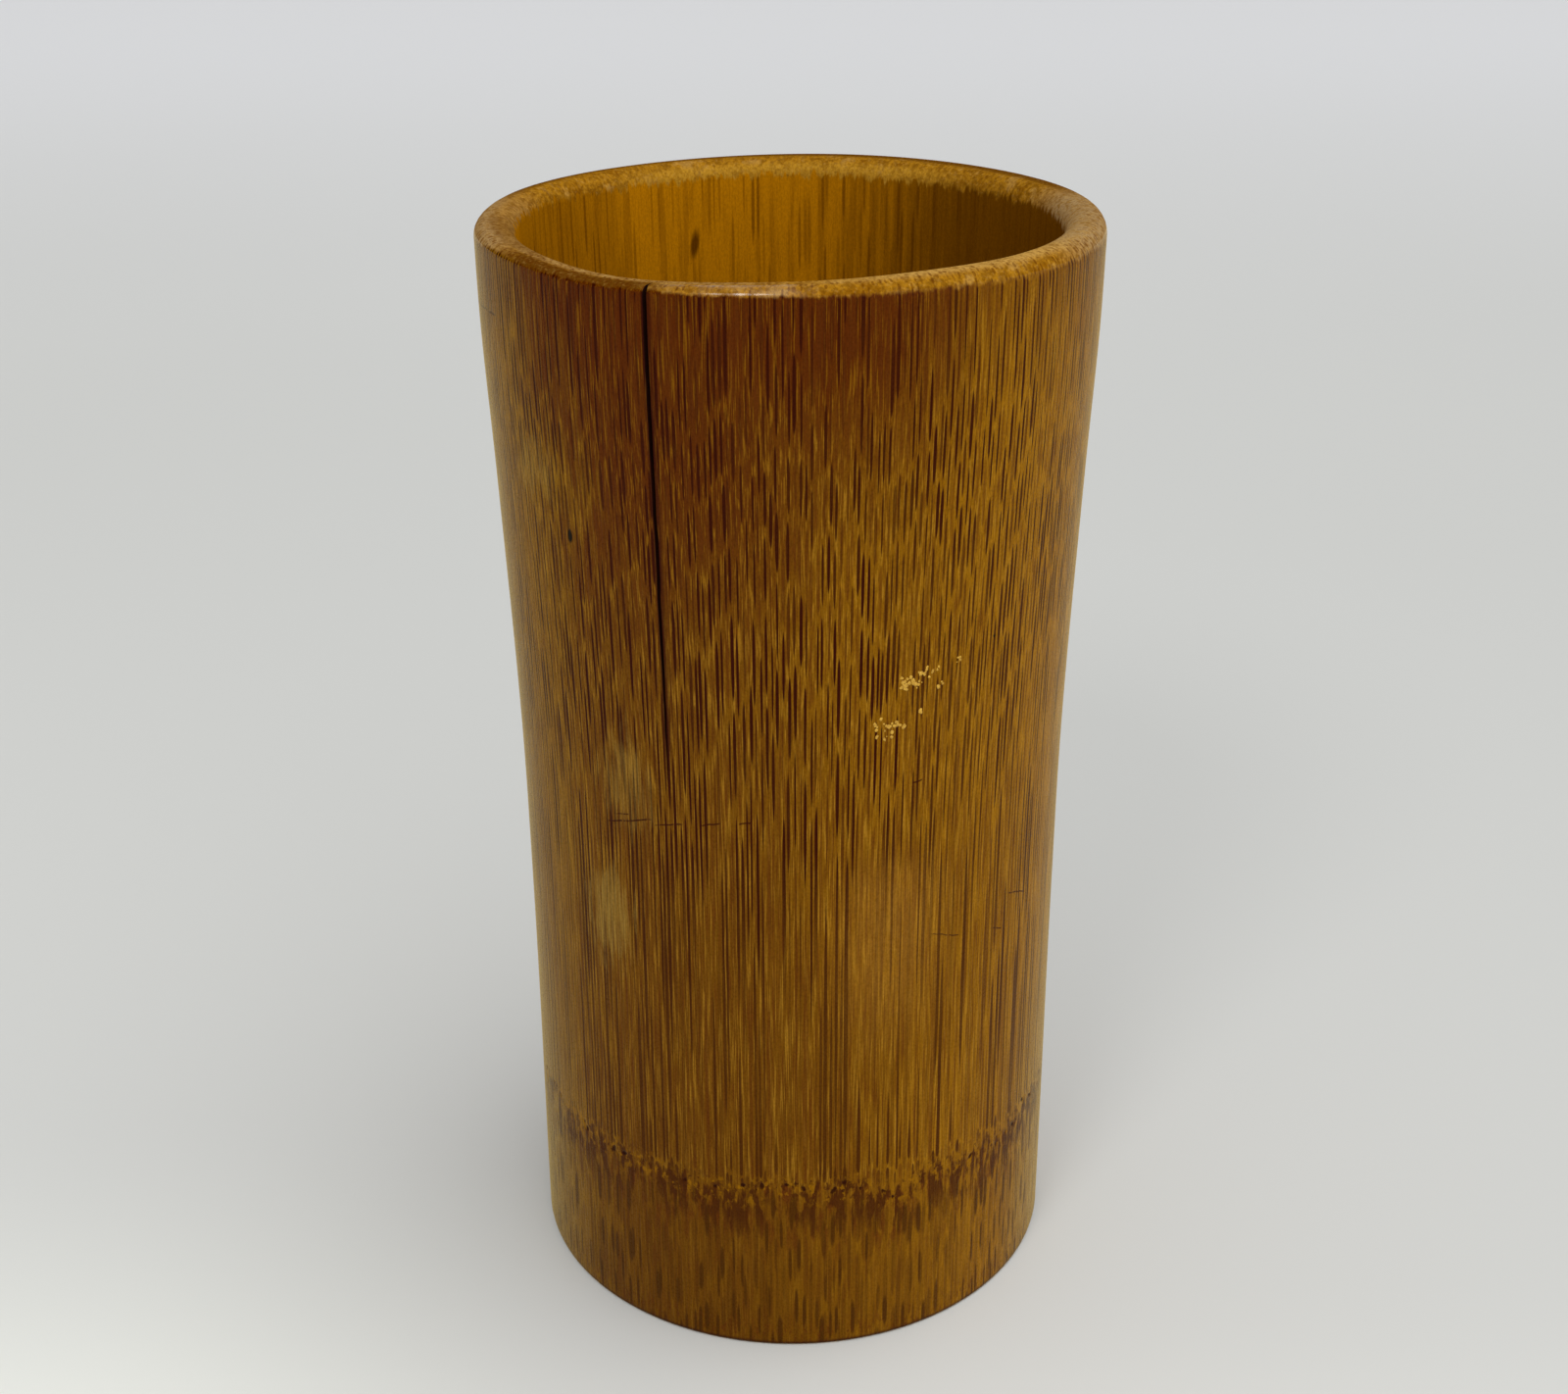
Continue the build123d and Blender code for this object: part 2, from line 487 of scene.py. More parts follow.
def shape_by_hand(piece, wall, scar):
    """Gives each ring of the spun wall its place: the uneven rim, the worn lip and the sanded sides."""
    rings = np.empty(len(piece.data.vertices), dtype=np.int32)
    piece.data.attributes["ring"].data.foreach_get("value", rings)
    direction = round_axis(read_places(piece))[1]
    turns, turn_of = np.unique(np.round(direction, 5), return_inverse=True)
    radii, heights = wall_outline(wall, scar, turns)
    radius = radii[rings, turn_of]
    height = heights[rings, turn_of]
    write_places(piece, np.column_stack([radius * np.cos(direction), radius * np.sin(direction), height]))


def sink_scar(piece, wall, scar, pits):
    """Doubles the faces along the scar and presses its pits into them."""
    make_active(piece)
    low, high = scar_band(scar)
    outer_side = wall.seat_radius + OUTER_MARGIN
    bpy.ops.object.mode_set(mode="EDIT")
    bpy.ops.mesh.select_mode(type="FACE")
    bpy.ops.mesh.select_all(action="DESELECT")
    bpy.ops.object.mode_set(mode="OBJECT")
    for face in piece.data.polygons:
        face.select = low < face.center.z < high and math.hypot(*face.center.xy) > outer_side
    bpy.ops.object.mode_set(mode="EDIT")
    bpy.ops.mesh.subdivide(number_cuts=1)
    bpy.ops.mesh.select_mode(type="VERT")
    bpy.ops.object.mode_set(mode="OBJECT")
    places = read_places(piece)
    radius, direction = round_axis(places)
    near = (radius > outer_side) & (abs(places[:, 2] - scar.height) < SCAR_REACH)
    depth = pit_depth(pits, wall.rim_radius, direction[near], places[near, 2])
    places[near, :2] *= (1 - depth / radius[near])[:, None]
    write_places(piece, places)


# How far the wedge of the split runs past the wall, above the rim and outwards
ABOVE_RIM = 3 * MM
BEYOND_WALL = 2 * MM
WEDGE_STEPS = 26


def split_cutter(wall, split):
    """A long wedge that narrows and wanders a little on its way down, and comes out of the wall below."""
    deselect_all()
    top = (0, 0, wall.cup_height + ABOVE_RIM)
    bpy.ops.mesh.primitive_circle_add(vertices=3, radius=MM, fill_type="NGON", location=top)
    cutter = bpy.context.object
    cutter.name = "split_cutter"
    bpy.ops.object.transform_apply(location=True)
    edit_all()
    for _ in range(WEDGE_STEPS):
        drop = (0, 0, -(split.length + ABOVE_RIM) / WEDGE_STEPS)
        bpy.ops.mesh.extrude_region_move(TRANSFORM_OT_translate={"value": drop})
    face_outwards()
    draw = random.Random(7)
    levels = sorted({round(vertex.co.z, 6) for vertex in cutter.data.vertices}, reverse=True)
    wander = {level: draw.gauss(0, 0.05) * MM for level in levels}
    corners = {level: [] for level in levels}
    for vertex in cutter.data.vertices:
        corners[round(vertex.co.z, 6)].append(vertex)
    outward, sideways = facing(split.direction)
    for level in levels:
        run = min(max((wall.cup_height - level) / split.length, 0), 1)
        width = split.width * (1 - 0.25 * run - 0.7 * run ** 8) + 0.03 * MM
        depth = split.depth * (1 - run ** 4)
        surface = float(outside_radius(wall, level))
        half = width / 2 * (depth + BEYOND_WALL) / (depth + 0.2 * MM)
        root, left, right = sorted(corners[level], key=lambda v: v.index)
        root.co = outward * (surface - depth) + sideways * wander[level]
        left.co = outward * (surface + BEYOND_WALL) + sideways * (wander[level] * 0.5 + half)
        right.co = outward * (surface + BEYOND_WALL) + sideways * (wander[level] * 0.5 - half)
        for corner in (root, left, right):
            corner.co.z = level
    make_active(cutter)
    edit_all()
    face_outwards()
    return cutter


def cut_split(piece, cutter):
    """Cuts the wedge out of the wall. The new faces keep the wedge's material."""
    make_active(piece)
    cut = piece.modifiers.new("split", "BOOLEAN")
    cut.operation = "DIFFERENCE"
    cut.solver = "EXACT"
    cut.material_mode = "TRANSFER"
    cut.object = cutter
    bpy.ops.object.modifier_apply(modifier=cut.name)
    bpy.data.objects.remove(cutter)


def middle_radius(wall, height):
    """The middle of the wall's thickness."""
    return (outside_radius(wall, height) + bore_radius(wall, height)) / 2


def wear_off_varnish(piece, wall, material):
    """Gives the lip, the bore and the foot's flat their own, duller finish."""
    piece.data.materials.append(material)
    worn = len(piece.data.materials) - 1
    for face in piece.data.polygons:
        centre = face.center
        direction = math.atan2(centre.y, centre.x)
        on_lip = rim_height(wall, direction) - centre.z < 0.6 * lip_round(wall, direction)
        inside = math.hypot(centre.x, centre.y) < middle_radius(wall, centre.z)
        if face.material_index == 0 and (on_lip or inside or centre.z < 0.02 * MM):
            face.material_index = worn


def mark_wall(piece, wall, scar, pits):
    """Writes what the wall's material needs to know of each vertex."""
    places = read_places(piece)
    radius, direction = round_axis(places)
    height = places[:, 2]
    below_rim = rim_height(wall, direction) - height
    inner_side = radius < middle_radius(wall, height)
    size = np.where(inner_side, wall.lip_inner_round, lip_round(wall, direction))
    write_mask(piece, "lip", np.clip(1 - below_rim / size, -2, 1))
    write_mask(piece, "below_rim", below_rim / MM)
    write_mask(piece, "above_scar", (height - scar_height(scar, direction)) / MM)
    near = abs(height - scar.height) < SCAR_REACH
    depth = np.zeros(len(places))
    depth[near] = pit_depth(pits, wall.rim_radius, direction[near], height[near])
    write_mask(piece, "pit", np.where(inner_side, 0, depth / scar.pit_depth))


# Shader nodes

class Wire:
    """A node's output. Signs between wires and numbers add the nodes that work the sum out."""

    def __init__(self, tree, socket):
        self.tree = tree
        self.socket = socket

    def __add__(self, other):
        return maths("ADD", self, other)

    def __radd__(self, other):
        return maths("ADD", other, self)

    def __sub__(self, other):
        return maths("SUBTRACT", self, other)

    def __rsub__(self, other):
        return maths("SUBTRACT", other, self)

    def __mul__(self, other):
        return maths("MULTIPLY", self, other)

    def __truediv__(self, other):
        return maths("DIVIDE", self, other)

    def __rtruediv__(self, other):
        return maths("DIVIDE", other, self)

    def __abs__(self):
        return maths("ABSOLUTE", self)


def plug(value, socket):
    """Puts a wire, a number or a colour into a node's input."""
    if isinstance(value, Wire):
        value.tree.links.new(value.socket, socket)
    else:
        socket.default_value = (*value, 1) if socket.type == "RGBA" else value


def add_node(tree, kind, inputs=(), **settings):
    """Adds a node, sets it, fills its inputs and gives its outputs as wires."""
    node = tree.nodes.new(kind)
    for name, value in settings.items():
        setattr(node, name, value)
    for key, value in dict(inputs).items():
        plug(value, node.inputs[key])
    return [Wire(tree, socket) for socket in node.outputs]


def tree_of(*values):
    """The node tree of the first wire among the values."""
    return next(value.tree for value in values if isinstance(value, Wire))


def maths(operation, *values):
    return add_node(tree_of(*values), "ShaderNodeMath", enumerate(values), operation=operation)[0]


def most(first, second):
    return maths("MAXIMUM", first, second)


def least(first, second):
    return maths("MINIMUM", first, second)


def vector_maths(operation, inputs):
    return add_node(inputs[0].tree, "ShaderNodeVectorMath", inputs, operation=operation)


def ramp(value, low, high, start=0, end=1):
    """Goes smoothly from start to end while the value goes from low to high."""
    inputs = {"Value": value, "From Min": low, "From Max": high, "To Min": start, "To Max": end}
    return add_node(value.tree, "ShaderNodeMapRange", inputs, interpolation_type="SMOOTHSTEP")[0]


def blend(mask, first, second, how="MIX"):
    """Lays the second colour over the first through a mask."""
    inputs = {0: mask, 6: first, 7: second}
    tree = tree_of(mask, first, second)
    return add_node(tree, "ShaderNodeMix", inputs, data_type="RGBA", blend_type=how)[2]


def toned(colour, *shares):
    """A colour times one share, or times one share each for its red, green and blue."""
    if len(shares) == 1:
        shares *= 3
    return tuple(value * share for value, share in zip(colour, shares))


def noise(place, across, along, detail=2, roughness=0.5, seed=0, output=0):
    """Soft random values with features this many millimetres across and along the culm."""
    scale = (1 / (across * MM), 1 / (across * MM), 1 / (along * MM))
    sized = add_node(place.tree, "ShaderNodeMapping", {"Vector": place, "Scale": scale})[0]
    inputs = {"Vector": sized, "W": seed, "Scale": 1, "Detail": detail, "Roughness": roughness}
    return add_node(place.tree, "ShaderNodeTexNoise", inputs, noise_dimensions="4D")[output]


def stray(place, across, along, seed, size):
    """A slow random shift to every side, as large as the size in millimetres allows."""
    colour = noise(place, across, along, detail=1, seed=seed, output=1)
    centred = vector_maths("SUBTRACT", {0: colour, 1: (0.5, 0.5, 0.5)})[0]
    return vector_maths("SCALE", {0: centred, "Scale": size})[0]


def by_name(tree, sockets):
    """Sockets as wires, under their names in small letters with underscores."""
    return SimpleNamespace(**{s.name.lower().replace(" ", "_"): Wire(tree, s) for s in sockets if s.name})


def new_group(name, inputs, outputs):
    """An empty node group that takes a place and numbers. Gives both its ends."""
    tree = bpy.data.node_groups.new(name, "ShaderNodeTree")
    tree.interface.new_socket("Place", in_out="INPUT", socket_type="NodeSocketVector")
    for socket, default in inputs.items():
        number = tree.interface.new_socket(socket, in_out="INPUT", socket_type="NodeSocketFloat")
        number.default_value = default
    for socket in outputs:
        tree.interface.new_socket(socket, in_out="OUTPUT", socket_type="NodeSocketFloat")
    given = tree.nodes.new("NodeGroupInput").outputs
    return by_name(tree, given), tree.nodes.new("NodeGroupOutput").inputs


def use_group(name, place, *ordered, **named):
    """Places a group. Its numbers are given in their order, or by name with underscores."""
    node = place.tree.nodes.new("ShaderNodeGroup")
    node.node_tree = bpy.data.node_groups[name]
    for value, socket in zip((place, *ordered), node.inputs):
        plug(value, socket)
    for key, value in named.items():
        plug(value, node.inputs[key.replace("_", " ").title()])
    return by_name(place.tree, node.outputs)


# Distances round the cup are measured at this radius, in millimetres
MEAN_RADIUS = 41.5


def places_group():
    """Where a point is, in millimetres: round from the front, up from the table, out from the axis."""
    given, made = new_group("Cup Places", {}, ("Around", "Height", "Out"))
    tree = given.place.tree
    x, y, z = add_node(tree, "ShaderNodeSeparateXYZ", {0: given.place})
    flat = add_node(tree, "ShaderNodeCombineXYZ", {"X": x, "Y": y})[0]
    plug(maths("ARCTAN2", x, y * -1) * MEAN_RADIUS, made["Around"])
    plug(z / MM, made["Height"])
    plug(vector_maths("LENGTH", {0: flat})[1] / MM, made["Out"])


def bundles_group():
    """Fibre bundles that run up through the wood: streaks where a side cuts them, dots on cut ends.

    They stand in columns round the cup, one behind another out from its axis. Sizes are in millimetres.
    """
    inputs = {
        "Columns Round": 356,
        "Apart Out": 0.76,
        "Half Width": 0.172,
        "Half Depth": 0.33,
        "Softness": 0.3,
        "Stray": 0.4,
        "Wander": 0.5,
        "Taper": 0.018,
        "Rim Taper": 0.016,
        "Foot Taper": 0.03,
        "Node Swerve": 0.7,
        "Node Height": 29,
    }
    given, made = new_group("Fibre Bundles", inputs, ("Streak", "Chance", "Column"))
    tree = given.place.tree
    where = use_group("Cup Places", given.place)
    drift = stray(given.place, 9, 34, 0, given.wander)
    wobble = stray(given.place, 1.4, 14, 3, given.wander * 0.3)
    shift = add_node(tree, "ShaderNodeSeparateXYZ", {0: vector_maths("ADD", {0: drift, 1: wobble})[0]})
    over_node = where.height - given.node_height
    from_node = over_node / ramp(over_node, -1, 1, 6, 2)
    hump = maths("EXPONENT", from_node * from_node * -1)
    lean = where.height * given.taper + hump * given.node_swerve
    lean = lean + most(where.height - 122, 0) * given.rim_taper
    lean = lean + least(over_node, 0) * given.foot_taper

    apart = FULL_TURN * MEAN_RADIUS / given.columns_round
    columns = (where.around + shift[0] * 0.3) / apart
    column = maths("FLOOR", columns)
    side = columns - column - 0.5
    half_round = given.columns_round * 0.5
    number = maths("WRAP", column, half_round, half_round * -1)
    own = add_node(tree, "ShaderNodeTexWhiteNoise", {"W": number}, noise_dimensions="1D")[0]
    rows = (where.out + shift[1] + lean) / given.apart_out + (number * 0.5 + own * 0.8)
    row = maths("FLOOR", rows)
    deep = rows - row - 0.5
    bundle = add_node(tree, "ShaderNodeCombineXYZ", {"X": number, "Y": row})[0]
    throw = add_node(tree, "ShaderNodeTexWhiteNoise", {"Vector": bundle}, noise_dimensions="2D")[1]
    shoved, wide, chance = add_node(tree, "ShaderNodeSeparateColor", {0: throw})

    across = (side + (shoved - 0.5) * given.stray) * apart
    width = given.half_width * ramp(wide, 0, 1, 0.7, 1.3)
    width = width * ramp(where.height, 90, 50, 1, 1.45) * ramp(over_node, 1, -3, 1, 1.3)
    deep = deep * given.apart_out / given.half_depth
    away = maths("POWER", abs(across / width), 2) + maths("POWER", abs(deep), 3)
    plug(ramp(away, 1 + given.softness, 1 - given.softness), made["Streak"])
    plug(chance, made["Chance"])
    plug(own, made["Column"])


def spot_group():
    """A spot or patch with a ragged edge, at a place round the cup and a height."""
    inputs = {
        "At Around": 0,
        "At Height": 0,
        "Half Width": 1,
        "Half Height": 1,
        "Lean": 0,
        "Ragged": 0.3,
        "Soft": 0.3,
    }
    given, made = new_group("Spot", inputs, ("Mask",))
    where = use_group("Cup Places", given.place)
    rise = where.height - given.at_height
    across = (where.around - given.at_around - rise * given.lean) / given.half_width
    rise = rise / given.half_height
    away = maths("SQRT", across * across + rise * rise)
    rough = (noise(given.place, 0.9, 5, detail=3, seed=8) - 0.5) * given.ragged
    away = away + rough * 4
    plug(ramp(away, 1 + given.soft, 1 - given.soft), made["Mask"])


def scratch_group():
    """A hairline from one place on the side to another, broken here and there."""
    inputs = {"From Around": 0, "From Height": 0, "To Around": 1, "To Height": 0, "Thickness": 0.12}
    given, made = new_group("Scratch", inputs, ("Mask",))
    where = use_group("Cup Places", given.place)
    along = (where.around - given.from_around) / (given.to_around - given.from_around)
    line = given.from_height + along * (given.to_height - given.from_height)
    waver = (noise(given.place, 2, 40, seed=5) - 0.5) * 0.7
    away = abs(where.height - line - waver)
    dark = ramp(away, given.thickness * 1.5, given.thickness * 0.5)
    inside = ramp(along, 0, 0.12) * ramp(along, 1, 0.88)
    gaps = ramp(noise(given.place, 0.7, 9, seed=9), 0.32, 0.44)
    plug(dark * inside * gaps, made["Mask"])


def new_material(name):
    """An empty material, its shader's inputs and the object's own coordinates."""
    material = bpy.data.materials.new(name)
    material.use_nodes = True
    tree = material.node_tree
    tree.nodes.clear()
    shader = tree.nodes.new("ShaderNodeBsdfPrincipled")
    output = tree.nodes.new("ShaderNodeOutputMaterial")
    tree.links.new(shader.outputs[0], output.inputs["Surface"])
    place = tree.nodes.new("ShaderNodeTexCoord").outputs["Object"]
    return material, shader.inputs, Wire(tree, place)


def attribute(place, name):
    """A number that the mesh keeps for each vertex."""
    return add_node(place.tree, "ShaderNodeAttribute", attribute_name=name)[2]


def add_bump(shader, height, distance, strength):
    """Raises the surface by a mask, with the distance in millimetres."""
    inputs = {"Height": height, "Distance": distance * MM, "Strength": strength}
    plug(add_node(height.tree, "ShaderNodeBump", inputs)[0], shader["Normal"])


# Scratches, in millimetres: start and end, each round from the front and up, then thickness
SCRATCHES = (
    (-28.6, 85.4, -20.1, 87.8, 0.13),
    (-20.0, 87.0, -15.3, 88.2, 0.11),
    (-12.8, 88.3, -9.9, 89.1, 0.12),
    (-7.4, 89.2, -5.6, 89.6, 0.12),
    (-26.6, 87.1, -24.1, 87.7, 0.09),
    (36.1, 70.5, 41.4, 68.6, 0.12),
    (32.8, 66.1, 35.0, 65.2, 0.10),
    (20.6, 69.3, 26.1, 67.5, 0.09),
    (16.8, 93.9, 18.6, 94.3, 0.12),
    (-57.2, 153.2, -45.6, 153.9, 0.16),
)

# Dark specks: place round and up, half width, half height and lean
DARK_SPOTS = (
    (-31.6, 127.1, 0.44, 1.0, 0.02),
    (29.5, 113.1, 0.22, 0.24, 0.0),
)

# Rubbed patches: place round and up, half width, half height and strength
PALE_PATCHES = (
    (-29.0, 70.0, 3.7, 6.8, 0.85),
    (-38.6, 135.0, 4.0, 3.6, 0.5),
    (-24.6, 92.0, 3.8, 6.5, 0.45),
)


def outer_wood(place, colours, where, grain):
    """The sides: dark streaks in golden ground, browner in the middle of the front, olive on its left."""
    fibres = use_group("Fibre Bundles", place)
    teeth = (grain.zigzag - 0.5) * 22
    around = where.around + ((grain.broad - 0.5) * 24 + teeth)
    height = where.height + teeth
    behind = abs(where.around)
    golden = ramp(around - ramp(height, 100, 72, 0, 8), -20, 44)
    ground = blend(golden, colours.deep_wood, colours.golden_wood)
    ground = blend(ramp(around, -26, -42, 0, 0.9), ground, colours.olive_wood)
    # Painted light: the ground turns paler low on both sides, in place of light bounced up from the floor.
    painted_light_low_sides = ramp(behind, 34, 50) * ramp(where.height, 66, 20, 0, 0.7)
    ground = blend(painted_light_low_sides, ground, colours.worn)
    back_wood = blend(ramp(grain.broad, 0.3, 0.7, 0.2, 0.7), colours.golden_wood, colours.deep_wood)
    ground = blend(ramp(behind, 58, 76), ground, back_wood)
    red = ramp(around, -40, -26) * ramp(around, 10, -10) * ramp(height, 104, 140, 0, 0.85)
    top_front = ramp(around, -44, -30) * ramp(around, 34, 8)
    red = most(red, top_front * ramp(height, 128, 156, 0, 0.95))
    red = most(red, ramp(height, 146, 163, 0, 0.35))
    ground = blend(red, ground, colours.red_wood)
    red_strip = blend(red, colours.deep_wood, colours.red_wood)
    ground = blend(ramp(grain.strips, 0.48, 0.64, 0, 0.35), ground, red_strip)
    above_foot = ramp(where.height, 26, 32, 0.35, 1)
    light = blend(red, colours.light_line, colours.golden_wood)
    ground = blend(ramp(grain.fine, 0.53, 0.66, 0, 0.42) * above_foot, ground, light)
    ground = blend(ramp(grain.fine, 0.46, 0.34, 0, 0.6) * above_foot, ground, colours.scar)

    strength = ramp(fibres.chance, 0, 0.6, 0.45, 1) * ramp(grain.broad, 0.3, 0.55, 0.78, 1)
    thinned = ramp(fibres.column, 0.35, 0.2, 0, 0.65) * ramp(where.height, 88, 58)
    strength = strength * (1 - thinned) * ramp(golden, 0.5, 1, 1, 0.96)
    strength = strength * ramp(where.height, 31, 27, 1, 0.45)
    dark = blend(ramp(where.height, 80, 50, 0, 0.55), colours.streak, colours.brown_and_painted_bore_shade)
    bundle = blend(ramp(fibres.chance, 0.05, 0.5), colours.scar, dark)
    wood = blend(fibres.streak * strength, ground, bundle)

    # Painted shade: a dark band along both sides of the split, high on the wall.
    painted_shade_beside_split = ramp(abs(where.around + 17.3), 0.9, 0.3) * ramp(where.height, 92, 104)
    return blend(painted_shade_beside_split * 0.7, wood, colours.streak), fibres


def scar_wood(place, colours, wood, where, grain):
    """The scar: streaks stop at it in teeth, with pale islands, dark smudges under it, and its pits."""
    above_scar = attribute(place, "above_scar")
    ragged = above_scar + (grain.zigzag - 0.5) * 9
    band = ramp(ragged, -1.8, -0.6) * ramp(ragged, 2, 0.6)
    wood = blend(band * 0.15, wood, colours.golden_wood)
    smudges = ramp(ragged, -16, -2, 0.3, 1) * ramp(ragged, 1, -0.8)
    smudges = smudges * ramp(grain.patches, 0.4, 0.58, 0.35, 1) * ramp(grain.dashes, 0.48, 0.6)
    wood = blend(smudges * 0.9, wood, colours.scar)

    shape = {"half_width": 0.17, "half_depth": 0.4, "softness": 0.7, "stray": 1, "wander": 1.2}
    dashes = use_group(
        "Fibre Bundles", place, columns_round=205, apart_out=1.25, taper=0.11, node_swerve=0, **shape
    )
    foot_dashes = dashes.streak * ramp(dashes.chance, 0.15, 0.6, 0.1, 0.95) * ramp(ragged, 0.5, -2)
    wood = blend(foot_dashes, wood, toned(colours.brown_and_painted_bore_shade, 0.75))
    clumps = noise(place, 1.3, 7, detail=3, roughness=0.6, seed=19)
    hanging = ramp(ragged, -10, -3) * ramp(ragged, 1.4, -0.2) * ramp(clumps, 0.47, 0.54, 0, 0.9)
    wood = blend(hanging, wood, toned(colours.scar, 0.6))

    knots = noise(place, 1.1, 1.6, detail=3, roughness=0.6, seed=12)
    near = ramp(above_scar, -4, -0.6) * ramp(above_scar, 3, 0.4)
    pale = ramp(knots, 0.54, 0.62) * near
    wood = blend(pale * 0.7, wood, colours.golden_wood)
    dim = ramp(knots, 0.45, 0.37) * near
    wood = blend(dim * 0.9, wood, toned(colours.scar, 0.6))
    low = ramp(where.height, 6.5, 2.5) * ramp(noise(place, 0.5, 1.6, seed=15), 0.55, 0.63)
    wood = blend(low * 0.6, wood, colours.scar)
    deepest = attribute(place, "pit") + (grain.grit - 0.5) * 0.6
    wood = blend(ramp(deepest, 0.16, 0.45, 0, 0.95), wood, toned(colours.streak, 0.7))
    # Painted shade: a dark line along the foot's bottom edge, where it turns under.
    return blend(ramp(where.height, 1.1, 0.4, 0, 0.8), wood, colours.streak)


def marked_wood(place, colours, wood, grain):
    """Wear and accidents on the front: pale rubbed patches, specks and hairline scratches."""
    for *patch, strength in PALE_PATCHES:
        mask = use_group("Spot", place, *patch, ragged=0.7, soft=0.5).mask
        wood = blend(mask * ramp(grain.fine, 0.38, 0.6, 0.3, 0.9) * strength, wood, colours.worn)
    for spot in DARK_SPOTS:
        mask = use_group("Spot", place, *spot, ragged=0.1, soft=0.3).mask
        wood = blend(mask, wood, (0.006, 0.003, 0.001))
    scratched = reduce(most, [use_group("Scratch", place, *scratch).mask for scratch in SCRATCHES])
    return blend(scratched * 0.9, wood, colours.streak), scratched


def near_around(where, middle, inner, outer):
    """1 near one place round the cup, fading out on both sides of it."""
    return ramp(abs(where.around - middle), outer, inner)


def lip_wood(place, colours, where, fibres, grain, lip, depth):
    """End grain of the lip: mottled gold with dark bundle ends, rubbed pale or stained in places, with
    painted light on the inner rounding at the back and painted shade along the back edge.
    """
    mottle = noise(place, 0.8, 0.8, detail=3, roughness=0.6, seed=16)
    wood = blend(ramp(mottle, 0.4, 0.6), colours.lip_shade, colours.lip)
    wood = blend(ramp(grain.patches, 0.54, 0.64, 0, 0.4), wood, colours.frost)
    wood = blend(ramp(grain.patches, 0.46, 0.36, 0, 0.6), wood, colours.bore_streak)
    behind = abs(where.around)

    # Partly the paler inner edge of the lip's end grain, partly painted light on the inner rounding at the
    # back, which faces the light.
    pale_fringe_and_painted_light = ramp(behind, 94, 112) * ramp(depth, 0.3, 1.3) * ramp(where.out, 40.6, 40.2)
    wood = blend(pale_fringe_and_painted_light * ramp(mottle, 0.36, 0.56, 0.45, 0.95), wood, colours.light_line)
    crest = near_around(where, 30, 14, 34) * ramp(where.out, 42.6, 41.2)
    wood = blend(crest * ramp(mottle, 0.36, 0.52, 0.35, 0.8), wood, colours.frost)

    inner_half = ramp(where.out, 41.8, 40.8)
    dull_left = near_around(where, -60, 9, 22) * ramp(where.out, 39.5, 42, 0.35, 0.9)
    dull = most(near_around(where, 60, 10, 24), dull_left)
    dull = most(dull, near_around(where, -28, 18, 30) * inner_half * 0.5)
    wood = blend(dull * ramp(mottle, 0.36, 0.56, 0.3, 0.95), wood, colours.olive_frost)

    outermost = where.out + (mottle - 0.5) * 3
    front_left = near_around(where, -29, 9, 17) * ramp(outermost, 41, 41.8)
    front_left = front_left * ramp(lip, 0.2, 0.5, 0.35, 0.95)
    # Painted shade: the outer edge of the lip at the back, which turns away from the light, is darkened.
    painted_shade_back_edge = ramp(behind, 70, 84) * ramp(outermost, 39.8, 40.9, 0, 0.8)
    shaded = near_around(where, -50, 8, 16) * inner_half
    brown = most(most(front_left, painted_shade_back_edge), shaded * 0.4)
    wood = blend(brown, wood, colours.lip_stain_and_painted_shade)

    speckle = noise(place, 0.5, 0.5, detail=3, roughness=0.6, seed=17)
    wood = blend(ramp(speckle, 0.54, 0.64, 0, 0.18), wood, colours.frost)
    porous = most(near_around(where, -29, 10, 18), 0.3)
    wood = blend(ramp(speckle, 0.47, 0.36, 0, 0.9) * porous, wood, colours.scar)
    ends = fibres.streak * ramp(fibres.chance, 0.2, 0.8, 0, 0.6) * ramp(where.out, 39.5, 42.6, 0.25, 1)
    return blend(ends, wood, colours.scar)


def bore_wood(place, colours, where, grain):
    """The inside: soft, wide streaks in warm gold, painted shade on the right, darker at the back left,
    and one dark stain at the back.
    """
    shape = {"half_width": 0.22, "half_depth": 0.46, "softness": 0.75, "stray": 0.6, "taper": 0.05}
    fibres = use_group("Fibre Bundles", place, columns_round=270, apart_out=1.5, **shape)
    soft = fibres.streak * ramp(fibres.chance, 0.1, 0.9, 0, 0.85) * ramp(grain.broad, 0.3, 0.6, 0.4, 1)
    wood = blend(ramp(grain.strips, 0.48, 0.62, 0, 0.4), colours.bore, colours.bore_streak)
    wood = blend(soft, wood, colours.bore_streak)
    wood = blend(ramp(grain.fine, 0.42, 0.34, 0, 0.3), wood, colours.bore_streak)
    around = where.around + (grain.zigzag - 0.5) * 20
    # Painted shade on the right and back right of the bore, where the rim would cast its shadow; the same
    # colour darkens a patch at the back left.
    right = ramp(around, 131, 98) * ramp(around, 20, 50)
    shaded = most(right * 0.8, near_around(where, -84, 6, 18))
    wood = blend(least(shaded, ramp(around, 0, 10, 0.3, 1)), wood, colours.brown_and_painted_bore_shade)
    stain = use_group("Spot", place, -113.5, 151.4, 0.75, 2, -0.15, ragged=0.3, soft=0.5).mask
    return blend(stain * 0.8, wood, colours.streak)


